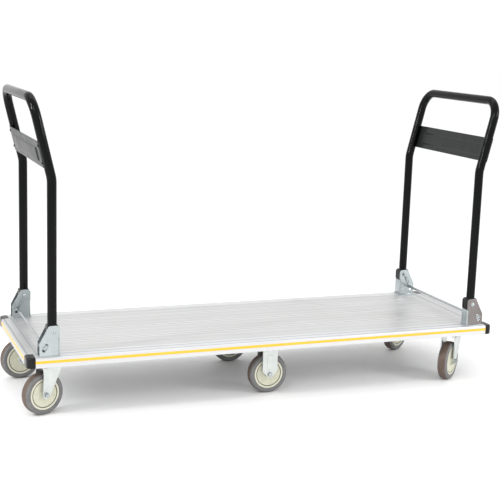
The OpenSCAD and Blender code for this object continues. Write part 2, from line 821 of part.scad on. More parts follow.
module front_left_tyre() { at_front_left() tyre(trail); }
module front_right_tyre() { at_front_right() tyre(trail); }
module rear_left_tyre() { at_rear_left() tyre(trail); }
module rear_right_tyre() { at_rear_right() tyre(trail); }
module front_middle_tyre() { at_front_middle() tyre(0); }
module rear_middle_tyre() { at_rear_middle() tyre(0); }

deck_planks();
front_rail();
rear_rail();
left_end_rail();
right_end_rail();
edge_strips();
corner_caps();
crossbars();
left_front_bracket();
left_rear_bracket();
right_front_bracket();
right_rear_bracket();
bracket_bolts();
left_pivot_pins();
right_pivot_pins();
left_latch_springs();
right_latch_springs();
left_lock_rod();
right_lock_rod();
left_rod_washers();
right_rod_washers();
left_handle_tube();
right_handle_tube();
left_handle_panel();
right_handle_panel();
left_panel_rivets();
right_panel_rivets();
left_handle_knuckles();
right_handle_knuckles();
caster_bolts();
swivel_balls();
front_left_caster_plate();
front_right_caster_plate();
rear_left_caster_plate();
rear_right_caster_plate();
front_left_fork();
front_right_fork();
rear_left_fork();
rear_right_fork();
front_middle_fork();
rear_middle_fork();
front_left_axle();
front_right_axle();
rear_left_axle();
rear_right_axle();
front_middle_axle();
rear_middle_axle();
front_left_hub();
front_right_hub();
rear_left_hub();
rear_right_hub();
front_middle_hub();
rear_middle_hub();
front_left_tyre();
front_right_tyre();
rear_left_tyre();
rear_right_tyre();
front_middle_tyre();
rear_middle_tyre();
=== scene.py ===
"""Looks of the folding platform cart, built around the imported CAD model. Lengths are in metres.

"Outboard" is away from the deck's middle along X. Pieces of the hinges and handles are made once, for the
right-hand end and the rear side, and mirrored to the others. Casters are made about their own axes.
"""

import json
import math

import bpy
from mathutils import Matrix, Vector
from mathutils.geometry import tessellate_polygon


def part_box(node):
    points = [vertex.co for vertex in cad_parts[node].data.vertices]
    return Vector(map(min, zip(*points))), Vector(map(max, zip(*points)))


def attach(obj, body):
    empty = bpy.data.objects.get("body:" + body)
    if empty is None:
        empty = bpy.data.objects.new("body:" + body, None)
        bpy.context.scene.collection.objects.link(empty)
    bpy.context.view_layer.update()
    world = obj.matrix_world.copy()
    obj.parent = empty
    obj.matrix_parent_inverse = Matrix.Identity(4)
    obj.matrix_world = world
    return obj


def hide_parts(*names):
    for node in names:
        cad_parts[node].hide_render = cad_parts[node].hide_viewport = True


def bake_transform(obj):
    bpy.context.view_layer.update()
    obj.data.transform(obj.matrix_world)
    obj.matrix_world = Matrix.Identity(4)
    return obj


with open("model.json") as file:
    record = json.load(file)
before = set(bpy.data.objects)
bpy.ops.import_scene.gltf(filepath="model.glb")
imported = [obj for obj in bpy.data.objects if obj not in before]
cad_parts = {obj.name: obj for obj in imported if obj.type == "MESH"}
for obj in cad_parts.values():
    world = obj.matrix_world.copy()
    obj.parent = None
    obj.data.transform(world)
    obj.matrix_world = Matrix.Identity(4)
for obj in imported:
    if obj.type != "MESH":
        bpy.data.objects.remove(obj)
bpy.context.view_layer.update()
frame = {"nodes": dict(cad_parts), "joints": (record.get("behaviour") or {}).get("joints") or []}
joints = {joint["name"]: joint for joint in frame["joints"]}

MM = 0.001
STEP = 0.1 * MM   # how far apart the two edges of a sudden step in a section are

# ---- Sizes and places, read from the frame ----

half_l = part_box("right_end_rail")[1].x
half_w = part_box("rear_rail")[1].y
deck_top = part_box("deck_planks")[1].z
deck_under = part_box("deck_planks")[0].z
field_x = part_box("deck_planks")[1].x
field_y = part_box("deck_planks")[1].y
rail_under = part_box("front_rail")[0].z
rail_h = deck_top - rail_under
rail_flange = half_w - field_y
cap_x = half_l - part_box("rear_rail")[1].x
pivot = Vector(joints["right_handle_fold"]["pos_m"])
leg_x = pivot.x
rod_centre = Vector(joints["right_lock_press"]["pos_m"])
rod_o = rod_centre.x - leg_x
rod_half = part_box("right_lock_rod")[1].y
rod_r = (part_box("right_lock_rod")[1].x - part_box("right_lock_rod")[0].x) / 2
slot_dir = Vector(joints["right_lock_press"]["axis"])
slot_travel = joints["right_lock_press"]["range_m"][1]
bracket_lo, bracket_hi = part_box("right_rear_bracket")
leg_y = (bracket_lo.y + bracket_hi.y) / 2
tube_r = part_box("right_handle_tube")[1].y - leg_y
knuckle_lo, knuckle_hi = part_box("right_handle_knuckles")

# Shape of the handle above its bend, as in the CAD model
bend_z = deck_top + 505 * MM
bend_r = 90 * MM
kick = math.radians(13.5)
upper_l = 230 * MM
corner_r = 58 * MM
panel_up = 35.5 * MM
panel_h = 77 * MM
panel_t = 1.5 * MM
emboss = 3 * MM

# Hinge sheet metal
sheet = 3 * MM
channel_y = 18 * MM
side_in = 19 * MM
side_out = 39 * MM
side_top = 12 * MM
side_knee = 39 * MM
web_h = 54 * MM
slot_room = 6 * MM
bracket_h = bracket_hi.z - deck_top

# Rails, edge strips and caps
wall = 3 * MM
rail_r = 6 * MM
strip_h = 8 * MM
strip_t = 1.2 * MM
strip_z = deck_top - 13.2 * MM
cap_y = 44 * MM
cap_r = 16 * MM
plank_w = 118 * MM

# Wheels and forks
wheel_r = joints["front_middle_wheel_spin"]["pos_m"][2]
seat_r = 47 * MM       # where a tyre meets its hub
fork_out = 24.5 * MM   # from a wheel's middle to the outer face of a fork's leg

LEAN_UP = Vector((math.sin(kick), 0, math.cos(kick)))
LEAN_OUT = Vector((math.cos(kick), 0, -math.sin(kick)))
X_AXIS = Vector((1, 0, 0))
Y_AXIS = Vector((0, 1, 0))
Z_AXIS = Vector((0, 0, 1))


# ---- Mesh helpers ----

def new_piece(name, verts, faces, sharp=35):
    """A mesh object, smooth except across edges sharper than the given angle in degrees."""
    mesh = bpy.data.meshes.new(name)
    mesh.from_pydata([tuple(v) for v in verts], [], faces)
    mesh.validate()
    mesh.shade_smooth()
    mesh.set_sharp_from_angle(angle=math.radians(sharp))
    piece = bpy.data.objects.new(name, mesh)
    bpy.context.scene.collection.objects.link(piece)
    return piece


def joined(name, pieces):
    """One object made of several. Their places go into the mesh."""
    verts, faces = [], []
    for piece in pieces:
        base = len(verts)
        verts += [piece.matrix_world @ v.co for v in piece.data.vertices]
        flip = piece.matrix_world.determinant() < 0
        for face in piece.data.polygons:
            loop = [base + v for v in face.vertices]
            faces.append(loop[::-1] if flip else loop)
        bpy.data.objects.remove(piece)
    return new_piece(name, verts, faces)


def moved(piece, matrix):
    """Moves a piece's mesh, not its object."""
    piece.data.transform(matrix)
    if matrix.determinant() < 0:
        piece.data.flip_normals()
    return piece


def copied(piece, name, matrix):
    """A copy of a piece, with its mesh moved by a matrix."""
    copy = bpy.data.objects.new(name, piece.data.copy())
    bpy.context.scene.collection.objects.link(copy)
    return moved(copy, matrix)


def mirrored(sx, sy):
    return Matrix.Diagonal((sx, sy, 1, 1))


def axes(origin, x, y, z):
    """Matrix that takes local X, Y and Z to the given directions, at the origin given."""
    matrix = Matrix((x, y, z)).transposed().to_4x4()
    matrix.translation = origin
    return matrix


def across_cart(origin, way=1):
    """Frame whose Z runs across the cart: towards the rear, or with way -1 towards the front."""
    return axes(origin, X_AXIS, Z_AXIS * -way, Y_AXIS * way)


def fillet(corners, steps=5):
    """A closed outline from (x, y, radius) corners, with an arc at each."""
    outline = []
    for i, (x, y, r) in enumerate(corners):
        point = Vector((x, y))
        if r <= 0:
            outline.append(point)
            continue
        before = (Vector(corners[i - 1][:2]) - point).normalized()
        after = (Vector(corners[(i + 1) % len(corners)][:2]) - point).normalized()
        half = before.angle(after) / 2
        centre = point + (before + after).normalized() * (r / math.sin(half))
        start = point + before * (r / math.tan(half)) - centre
        turn = start.angle_signed(point + after * (r / math.tan(half)) - centre)
        for k in range(steps + 1):
            outline.append(centre + start @ Matrix.Rotation(turn * k / steps, 2))
    return outline


def in_mm(points):
    """An outline that is written in millimetres."""
    return [(x * MM, y * MM) for x, y in points]


def capsule(start, step, r, steps=12):
    """The clockwise edge of a slot from start to start + step."""
    angle = math.atan2(step.y, step.x)
    points = []
    for centre, first in ((start + step, angle + math.pi / 2), (start, angle - math.pi / 2)):
        for k in range(steps + 1):
            a = first - math.pi * k / steps
            points.append(centre + Vector((math.cos(a), math.sin(a))) * r)
    return points


def plate(name, outline, holes, thickness, edge, matrix=Matrix.Identity(4)):
    """A flat plate with holes and rounded edges, centred on the local XY plane."""
    curve = bpy.data.curves.new(name, "CURVE")
    curve.dimensions = "2D"
    curve.fill_mode = "BOTH"
    curve.extrude = thickness / 2 - edge
    curve.bevel_depth = edge
    curve.bevel_resolution = 2
    curve.offset = -edge
    for loop in (outline, *holes):
        spline = curve.splines.new("POLY")
        spline.points.add(len(loop) - 1)
        for point, place in zip(spline.points, loop):
            point.co = (place.x, place.y, 0, 1)
        spline.use_cyclic_u = True
    drawn = bpy.data.objects.new(name, curve)
    bpy.context.scene.collection.objects.link(drawn)
    bpy.context.view_layer.update()
    evaluated = drawn.evaluated_get(bpy.context.evaluated_depsgraph_get())
    mesh = bpy.data.meshes.new_from_object(evaluated)
    verts = [matrix @ v.co for v in mesh.vertices]
    faces = [list(face.vertices) for face in mesh.polygons]
    bpy.data.objects.remove(drawn)
    return new_piece(name, verts, faces)


def lathe(name, outline, matrix=Matrix.Identity(4), sides=64, sharp=35):
    """Turns an outline of (radius, height) about local Z. It closes on the axis, or on itself as a ring."""
    on_axis = 1e-7
    ring = outline[0][0] > on_axis or outline[-1][0] > on_axis
    rows, verts, faces = [], [], []
    for r, z in outline:
        count = 1 if r < on_axis else sides
        rows.append([len(verts) + k for k in range(count)])
        for k in range(count):
            a = 2 * math.pi * k / sides
            verts.append(matrix @ Vector((r * math.cos(a), r * math.sin(a), z)))
    pairs = list(zip(rows, rows[1:])) + ([(rows[-1], rows[0])] if ring else [])
    for low, high in pairs:
        for k in range(sides):
            n = (k + 1) % sides
            loop = [low[k % len(low)], low[n % len(low)], high[n % len(high)], high[k % len(high)]]
            loop = list(dict.fromkeys(loop))
            if len(loop) > 2:
                faces.append(loop)
    return outward(new_piece(name, verts, faces, sharp))


def outward(piece):
    """Turns a closed mesh's faces to the outside."""
    mesh = piece.data
    volume = 0.0
    for face in mesh.polygons:
        points = [mesh.vertices[v].co for v in face.vertices]
        for a, b in zip(points[1:], points[2:]):
            volume += points[0].dot(a.cross(b))
    if volume < 0:
        mesh.flip_normals()
    return piece


def stacked_faces(rings, sides):
    """Faces between rings of points that lie one after another, and over both ends."""
    faces = []
    for low in range(0, (rings - 1) * sides, sides):
        for k in range(sides):
            n = (k + 1) % sides
            faces.append([low + k, low + n, low + sides + n, low + sides + k])
    return faces + [list(range(sides))[::-1], [(rings - 1) * sides + k for k in range(sides)]]


def sweep(name, path, radius, sides=24):
    """A round bar along a path of points."""
    verts = []
    count = len(path)
    side = None
    for i, point in enumerate(path):
        ahead = path[min(i + 1, count - 1)] - path[max(i - 1, 0)]
        ahead.normalize()
        if side is None:
            side = ahead.orthogonal().normalized()
        side = (side - ahead * side.dot(ahead)).normalized()
        other = ahead.cross(side)
        for k in range(sides):
            a = 2 * math.pi * k / sides
            verts.append(point + (side * math.cos(a) + other * math.sin(a)) * radius)
    return outward(new_piece(name, verts, stacked_faces(count, sides), 50))


def prism(name, outline, ends, matrix=Matrix.Identity(4)):
    """Extrudes an outline of (inset, height) along local X. ends(inset) gives where it stops on each side."""
    verts, faces = [], []
    count = len(outline)
    for side in (-1, 1):
        for point in outline:
            verts.append(matrix @ Vector((side * ends(point.x), point.x, point.y)))
    for i in range(count):
        n = (i + 1) % count
        faces.append([i, n, count + n, count + i])
    for a, b, c in tessellate_polygon([[p.to_3d() for p in outline]]):
        faces.append([a, b, c])
        faces.append([count + c, count + b, count + a])
    return outward(new_piece(name, verts, faces, 30))


def sheet_grid(name, rows):
    """A surface through rows of points."""
    verts = [point for row in rows for point in row]
    width = len(rows[0])
    faces = [[i * width + k, i * width + k + 1, (i + 1) * width + k + 1, (i + 1) * width + k]
             for i in range(len(rows) - 1) for k in range(width - 1)]
    return new_piece(name, verts, faces, 40)


def thicken(piece, thickness):
    """Gives a surface its thickness, half to each side, with a modifier."""
    solid = piece.modifiers.new("thickness", "SOLIDIFY")
    solid.thickness = thickness
    solid.offset = 0
    solid.use_even_offset = True
    return piece


def soften(piece, width, segments=2, angle=35):
    """Rounds the sharp edges of a piece with modifiers only."""
    flat = piece.modifiers.new("flat faces", "DECIMATE")
    flat.decimate_type = "DISSOLVE"
    flat.angle_limit = math.radians(0.5)
    round_edges = piece.modifiers.new("round edges", "BEVEL")
    round_edges.width = width
    round_edges.segments = segments
    round_edges.limit_method = "ANGLE"
    round_edges.angle_limit = math.radians(angle)
    round_edges.harden_normals = True
    return piece


def hex_head(name, across, height, matrix, chamfer=1.2 * MM, sides=48):
    """A hexagon head or nut of a given width across corners, with its upper corners turned off."""
    r = across / 2
    flat = r * math.cos(math.pi / 6)

    def hexagon(a):
        return flat / math.cos((a + math.pi / 6) % (math.pi / 3) - math.pi / 6)

    levels = [(0, math.inf), (height - chamfer, r), (height - chamfer * 0.35, flat + (r - flat) * 0.35),
              (height, flat * 0.97)]
    verts = []
    for z, limit in levels:
        for k in range(sides):
            a = 2 * math.pi * k / sides
            reach = min(hexagon(a), limit)
            verts.append(matrix @ Vector((reach * math.cos(a), reach * math.sin(a), z)))
    return outward(new_piece(name, verts, stacked_faces(len(levels), sides), 25))


def dress(piece, material, body, slot, *nodes):
    """Gives a piece its material, its CAD body and the CAD nodes it stands for. The slot argument is not
    used.
    """
    piece.data.materials.clear()
    piece.data.materials.append(material)
    if body:
        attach(piece, body)
    if nodes:
        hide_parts(*nodes)
    return piece


# ---- Materials ----

class Surface:
    """A Principled material and short calls that add texture nodes to it."""

    def __init__(self, name, colour, roughness, metallic=0.0, **sockets):
        self.material = bpy.data.materials.new(name)
        self.material.use_nodes = True
        self.nodes = self.material.node_tree.nodes
        self.link = self.material.node_tree.links.new
        self.shader = self.nodes["Principled BSDF"]
        self.shader.inputs["Base Color"].default_value = (*colour, 1)
        self.shader.inputs["Roughness"].default_value = roughness
        self.shader.inputs["Metallic"].default_value = metallic
        for key, value in sockets.items():
            self.shader.inputs[key.replace("_", " ")].default_value = value
        self.height = None

    def place(self, scale=(1, 1, 1), turn=(0, 0, 0)):
        """Object coordinates, scaled and turned."""
        coordinates = self.nodes.new("ShaderNodeTexCoord")
        mapping = self.nodes.new("ShaderNodeMapping")
        mapping.inputs["Scale"].default_value = scale
        mapping.inputs["Rotation"].default_value = turn
        self.link(coordinates.outputs["Object"], mapping.inputs["Vector"])
        return mapping.outputs["Vector"]

    def noise(self, vector, scale, detail=4, roughness=0.55):
        node = self.nodes.new("ShaderNodeTexNoise")
        node.inputs["Scale"].default_value = scale
        node.inputs["Detail"].default_value = detail
        node.inputs["Roughness"].default_value = roughness
        self.link(vector, node.inputs["Vector"])
        return node.outputs["Fac"]

    def spread(self, value, low, high, to_low=0.0, to_high=1.0):
        """Maps low..high to to_low..to_high."""
        node = self.nodes.new("ShaderNodeMapRange")
        node.inputs["From Min"].default_value = low
        node.inputs["From Max"].default_value = high
        node.inputs["To Min"].default_value = to_low
        node.inputs["To Max"].default_value = to_high
        self.link(value, node.inputs["Value"])
        return node.outputs["Result"]

    def band(self, value, middle, half, strength):
        """A soft-edged band: strength where value is within half of middle, and 0 beyond twice that."""
        away = self.maths("ABSOLUTE", self.maths("SUBTRACT", value, middle), 0)
        return self.spread(away, half, 2 * half, strength, 0)

    def maths(self, operation, a, b):
        node = self.nodes.new("ShaderNodeMath")
        node.operation = operation
        for socket, value in zip(node.inputs, (a, b)):
            if isinstance(value, (int, float)):
                socket.default_value = value
            else:
                self.link(value, socket)
        return node.outputs["Value"]

    def mix(self, factor, first, second):
        """Mixes two colours. Each is a socket or a tuple."""
        node = self.nodes.new("ShaderNodeMix")
        node.data_type = "RGBA"
        self.link(factor, node.inputs["Factor"])
        for socket, value in zip((node.inputs[6], node.inputs[7]), (first, second)):
            if isinstance(value, tuple):
                socket.default_value = (*value, 1)
            else:
                self.link(value, socket)
        return node.outputs[2]

    def axis(self, name):
        """One of the object coordinates."""
        split = self.nodes.new("ShaderNodeSeparateXYZ")
        self.link(self.place(), split.inputs["Vector"])
        return split.outputs[name]

    def radius(self):
        """Distance from the object's own Z axis."""
        coordinates = self.nodes.new("ShaderNodeTexCoord")
        flat = self.nodes.new("ShaderNodeVectorMath")
        flat.operation = "MULTIPLY"
        flat.inputs[1].default_value = (1, 1, 0)
        length = self.nodes.new("ShaderNodeVectorMath")
        length.operation = "LENGTH"
        self.link(coordinates.outputs["Object"], flat.inputs[0])
        self.link(flat.outputs["Vector"], length.inputs[0])
        return length.outputs["Value"]

    def colour(self, socket):
        self.link(socket, self.shader.inputs["Base Color"])

    def roughness(self, socket):
        self.link(socket, self.shader.inputs["Roughness"])

    def bump(self, socket, strength, distance):
        node = self.nodes.new("ShaderNodeBump")
        node.inputs["Strength"].default_value = strength
        node.inputs["Distance"].default_value = distance
        self.link(socket, node.inputs["Height"])
        if self.height is not None:
            self.link(self.height, node.inputs["Normal"])
        self.height = node.outputs["Normal"]
        self.link(self.height, self.shader.inputs["Normal"])


def extruded_aluminium(name, light, dark, along):
    """Drawn aluminium and its colour socket: die lines along its length, and soft cloudy patches."""
    s = Surface(name, light, 0.4, 0.7)
    stretch = (3, 420, 420) if along == "X" else (420, 3, 420)
    lines = s.noise(s.place(stretch), 1.0, 3, 0.6)
    cloud = s.noise(s.place(), 5.0, 5, 0.6)
    tone = s.maths("ADD", s.spread(lines, 0.3, 0.7, 0, 0.6), s.spread(cloud, 0.35, 0.65, 0, 0.4))
    rough = s.maths("ADD", s.spread(lines, 0.3, 0.7, 0.3, 0.4), s.spread(cloud, 0.3, 0.7, 0, 0.12))
    s.bump(lines, 0.12, 0.0002)
    return s, s.mix(tone, dark, light), rough


def plank_metal():
    """Deck aluminium: painted shade in the seams, painted highlight bands beside them, darker streaks, and
    handling scratches.
    """
    s, colour, rough = extruded_aluminium("plank_metal", (0.6, 0.605, 0.6), (0.5, 0.505, 0.5), "X")
    painted_highlight, painted_seam_shade = (0.85, 0.86, 0.86), (0.3, 0.29, 0.28)
    from_seam = s.maths("PINGPONG", s.maths("ADD", s.axis("Y"), field_y), plank_w / 2)
    streaks = s.noise(s.place((0.6, 38, 1)), 1.0, 2, 0.5)
    colour = s.mix(s.spread(streaks, 0.4, 0.66, 0, 0.3), colour, (0.48, 0.48, 0.47))
    # Painted highlights: light bands 6.5 mm and 39 mm from each seam.
    colour = s.mix(s.band(from_seam, 6.5 * MM, 2.5 * MM, 0.45), colour, painted_highlight)
    colour = s.mix(s.band(from_seam, 39 * MM, 2 * MM, 0.2), colour, painted_highlight)
    # Painted shade: a dark line along each seam between the planks.
    colour = s.mix(s.band(from_seam, 0, 1.8 * MM, 0.7), colour, painted_seam_shade)
    marks = scratches(s)
    s.colour(s.mix(s.maths("MULTIPLY", marks, 0.18), colour, (0.42, 0.42, 0.43)))
    s.roughness(s.maths("ADD", rough, s.maths("MULTIPLY", marks, 0.15)))
    return s.material


def rail_metal(name, along, light, dark):
    """Rail aluminium, with painted bluish shade in the scribed line and beside the planks."""
    s, colour, rough = extruded_aluminium(name, light, dark, along)
    across, edge = ("Y", half_w) if along == "X" else ("X", half_l)
    inset = s.maths("SUBTRACT", edge, s.maths("ABSOLUTE", s.axis(across), 0))
    # Painted shade: bluish-grey bands at the scribed line and at the bead beside the planks.
    shade = (0.3, 0.34, 0.38)
    colour = s.mix(s.band(inset, 8 * MM, 1.8 * MM, 0.6), colour, shade)
    s.colour(s.mix(s.band(inset, rail_flange - 6 * MM, 1.6 * MM, 0.6), colour, shade))
    s.roughness(rough)
    return s.material


def scratches(s):
    """Fine scratches in three directions, gathered in patches."""
    marks = None
    for turn, size in ((0.12, 1.0), (-0.3, 1.4), (1.2, 0.8)):
        thin = s.noise(s.place((2.5 * size, 900, 900), (0, 0, turn)), 1.0, 2, 0.4)
        line = s.spread(thin, 0.7, 0.76)
        marks = line if marks is None else s.maths("MAXIMUM", marks, line)
    return s.maths("MULTIPLY", marks, s.spread(s.noise(s.place(), 9.0, 3), 0.5, 0.62))


def zinc(name, light, dark, rough=0.3, metallic=0.85):
    """Bright zinc plating on pressed steel: soft grain, cloudy tone and faint press marks."""
    s = Surface(name, light, rough, metallic)
    grain = s.noise(s.place((60, 60, 900)), 1.0, 3, 0.6)
    cloud = s.noise(s.place(), 18, 4, 0.6)
    tone = s.maths("ADD", s.spread(grain, 0.3, 0.7, 0, 0.15), s.spread(cloud, 0.3, 0.7, 0, 0.85))
    s.colour(s.mix(tone, dark, light))
    s.roughness(s.spread(cloud, 0.25, 0.75, rough - 0.06, rough + 0.12))
    s.bump(cloud, 0.06, 0.0002)
    return s.material


def drawn_steel(name, light, dark):
    """Plated round stock and hardware: smooth, with fine even variation of tone."""
    s = Surface(name, light, 0.2, 0.95)
    fine = s.noise(s.place(), 160, 3, 0.5)
    s.colour(s.mix(s.spread(fine, 0.3, 0.7), dark, light))
    s.roughness(s.spread(fine, 0.3, 0.7, 0.16, 0.26))
    return s.material


def enamel(name, colour, rough):
    """Glossy black powder coat with a fine orange-peel surface."""
    s = Surface(name, colour, rough, 0.0, Specular_IOR_Level=0.05, Coat_Weight=0.2, Coat_Roughness=0.03)
    peel = s.noise(s.place(), 750, 2, 0.5)
    cloud = s.noise(s.place(), 22, 4, 0.6)
    s.colour(s.mix(s.spread(cloud, 0.3, 0.7), colour, tuple(c * 1.3 for c in colour)))
    s.roughness(s.spread(cloud, 0.3, 0.7, rough - 0.04, rough + 0.08))
    s.bump(peel, 0.05, 0.0002)
    return s.material


def moulded(name, colour, shade, rough, grain=1400, gloss=0.5):
    """Moulded plastic with a fine grain and slight mottling."""
    s = Surface(name, colour, rough, 0.0, Specular_IOR_Level=gloss)
    mottle = s.noise(s.place(), 60, 5, 0.6)
    fine = s.noise(s.place(), grain, 2, 0.5)
    s.colour(s.mix(s.spread(mottle, 0.3, 0.7), colour, shade))
    s.roughness(s.spread(mottle, 0.3, 0.7, rough - 0.05, rough + 0.08))
    s.bump(fine, 0.12, 0.0002)
    return s.material


def hub_plastic():
    """Ivory wheel plastic, with painted shade in the ring groove and dirt around the boss."""
    s = Surface("hub_plastic", (0.6, 0.6, 0.47), 0.42)
    mottle = s.noise(s.place(), 70, 5, 0.6)
    fine = s.noise(s.place(), 1300, 2, 0.5)
    base = s.mix(s.spread(mottle, 0.3, 0.7), (0.62, 0.61, 0.49), (0.5, 0.5, 0.38))
    r = s.radius()
    rim = s.spread(r, 40.5 * MM, 41.5 * MM)
    base = s.mix(s.maths("MULTIPLY", rim, 0.5), base, (0.72, 0.7, 0.58))
    from_groove = s.maths("ABSOLUTE", s.maths("SUBTRACT", r, 39.9 * MM), 0)
    # Painted shade: near black in the ring groove.
    painted_groove_shade = s.spread(from_groove, 0.9 * MM, 1.6 * MM, 0.85, 0)
    base = s.mix(painted_groove_shade, base, (0.1, 0.09, 0.05))
    boss = s.spread(r, 11 * MM, 16 * MM, 0.45, 0)
    dirt = s.maths("MULTIPLY", boss, s.spread(mottle, 0.35, 0.6))
    s.colour(s.mix(dirt, base, (0.2, 0.19, 0.14)))
    s.roughness(s.spread(mottle, 0.3, 0.7, 0.36, 0.5))
    s.bump(fine, 0.12, 0.0002)
    return s.material


def tyre_rubber():
    """Grey rubber sides and a browner rolling surface with dust and fine scuffs."""
    s = Surface("tyre_rubber", (0.17, 0.17, 0.17), 0.6)
    r = s.radius()
    cloud = s.noise(s.place(), 45, 6, 0.65)
    scuff = s.noise(s.place((1, 1, 6)), 260, 3, 0.6)
    side = s.mix(s.spread(cloud, 0.3, 0.7), (0.125, 0.125, 0.125), (0.175, 0.175, 0.172))
    tread = s.mix(s.spread(cloud, 0.3, 0.7), (0.085, 0.056, 0.042), (0.13, 0.09, 0.068))
    edge = s.maths("ADD", r, s.spread(scuff, 0.3, 0.7, -0.6 * MM, 0.6 * MM))
    s.colour(s.mix(s.spread(edge, 60.8 * MM, 61.9 * MM), side, tread))
    s.roughness(s.spread(scuff, 0.3, 0.7, 0.5, 0.72))
    s.bump(scuff, 0.2, 0.0003)
    return s.material


def strip_plastic():
    """Yellow plastic strip with a soft gloss."""
    s = Surface("strip_plastic", (0.92, 0.5, 0.03), 0.35)
    mottle = s.noise(s.place(), 14, 5, 0.6)
    fine = s.noise(s.place((40, 900, 900)), 1.0, 2, 0.5)
    s.colour(s.mix(s.spread(mottle, 0.3, 0.7), (0.92, 0.51, 0.032), (0.9, 0.47, 0.024)))
    s.roughness(s.spread(mottle, 0.3, 0.7, 0.3, 0.42))
    s.bump(fine, 0.06, 0.0001)
    return s.material


def painted_steel():
    """Grey primer on the crossbars under the deck."""
    return moulded("painted_steel", (0.36, 0.37, 0.39), (0.3, 0.31, 0.33), 0.45, 900)


deck_metal = plank_metal()
# The rails' aluminium in two copies: the front and rear rails' copy is painted lighter, a painted highlight,
# and the end rails' copy darker, a painted shade.
lit_side_metal = rail_metal("lit_side_rail_metal", "X", (0.69, 0.69, 0.7), (0.6, 0.605, 0.61))
shaded_end_metal = rail_metal("shaded_end_rail_metal", "Y", (0.6, 0.6, 0.595), (0.5, 0.5, 0.495))
bracket_zinc = zinc("bracket_zinc", (0.47, 0.51, 0.52), (0.36, 0.4, 0.41), 0.2)
# Painted reflection: a darker, browner copy of the bracket zinc for one bracket's sides.
brown_reflection_zinc = zinc("brown_reflection_zinc", (0.25, 0.228, 0.22), (0.17, 0.154, 0.148), 0.22)
fork_zinc = zinc("fork_zinc", (0.68, 0.71, 0.69), (0.5, 0.53, 0.52), 0.3)
bright_metal = drawn_steel("bright_metal", (0.52, 0.55, 0.56), (0.38, 0.4, 0.41))
spring_metal = drawn_steel("spring_metal", (0.62, 0.65, 0.65), (0.4, 0.42, 0.43))
black_enamel = enamel("black_enamel", (0.0008, 0.0013, 0.001), 0.16)
# Painted sheen: the panels get a lighter copy of the black enamel.
panel_enamel_sheen = enamel("panel_enamel_sheen", (0.017, 0.019, 0.018), 0.3)
black_plastic = moulded("black_plastic", (0.004, 0.004, 0.004), (0.009, 0.009, 0.0085), 0.28, 1400, 0.22)
hub_material = hub_plastic()
tyre_material = tyre_rubber()
strip_material = strip_plastic()
steel_paint = painted_steel()


# ---- Deck ----

def rail_outline():
    """Section of a rail as (inset from the outer face, height above the underside)."""
    lip = 24 * MM
    low = strip_z - strip_h / 2 - rail_under
    small = 0.35 * MM
    line = 6.5 * MM
    line_w = 1.3 * MM
    bead_w = 3.5 * MM
    bead_h = 1.1 * MM
    return fillet([
        (0, 0, 0.8 * MM), (0, low, small), (strip_t, low, 0), (strip_t, low + strip_h, 0),
        (0, low + strip_h, small), (0, rail_h, rail_r),
        (line, rail_h, 0.25 * MM), (line, rail_h - MM, 0), (line + line_w, rail_h - MM, 0),
        (line + line_w, rail_h, 0.25 * MM), (cap_x, rail_h, 0), (cap_x + STEP, rail_h, 0),
        (rail_flange - bead_w - bead_h, rail_h, MM), (rail_flange - bead_w, rail_h + bead_h, MM),
        (rail_flange, rail_h + bead_h, MM), (rail_flange, rail_h - wall, small),
        (cap_x + STEP, rail_h - wall, 0), (cap_x, rail_h - wall, 0),
        (wall, rail_h - wall, wall), (wall, wall, wall), (lip, wall, 0), (lip, 0, 0),
    ], 8)


def rail_ends(half, cap_along, cap_in):
    """Where a rail stops at each depth: at the cap as far as the cap reaches, and then along the mitre."""
    return lambda inset: half - (max(inset, cap_along) if inset < cap_in + STEP / 2 else inset)


def on_each_side():
    """(half length, outer face, turn about Z, cap along the side, cap across it) of the deck's four sides."""
    for out, half, turn, along, across in ((half_w, half_l, 0, cap_x, cap_y),
                                           (half_l, half_w, 90, cap_y, cap_x)):
        for extra in (0, 180):
            yield half, out, turn + extra, along, across


def add_rails():
    outline = rail_outline()
    names = ("front_rail", "rear_rail", "right_end_rail", "left_end_rail")
    for name, (half, out, turn, along, across) in zip(names, on_each_side()):
        place = Matrix.Rotation(math.radians(turn), 4, "Z") @ Matrix.Translation((0, -out, rail_under))
        piece = prism(name + "_section", outline, rail_ends(half, along, across), place)
        # Painted light: the lighter copy for the front and rear rails, the darker copy for the end rails.
        metal = shaded_end_metal if "end" in name else lit_side_metal
        dress(piece, metal, "platform", "rail_aluminium", name)


def add_strips():
    """The coloured strips, slightly crowned, in the rails' grooves."""
    crown = 0.45 * MM
    steps = 8
    outline = [Vector((strip_t, -strip_h / 2)), Vector((strip_t, strip_h / 2))]
    for k in range(steps + 1):
        t = 1 - 2 * k / steps
        outline.append(Vector((-crown * math.sqrt(max(0, 1 - t ** 4)), t * strip_h * 0.49)))
    made = []
    for half, out, turn, along, _ in on_each_side():
        place = Matrix.Rotation(math.radians(turn), 4, "Z") @ Matrix.Translation((0, -out, strip_z))
        made.append(prism("strip", outline, rail_ends(half, along, along), place))
    dress(joined("coloured_strips", made), strip_material, "platform", "edge_strip", "edge_strips")


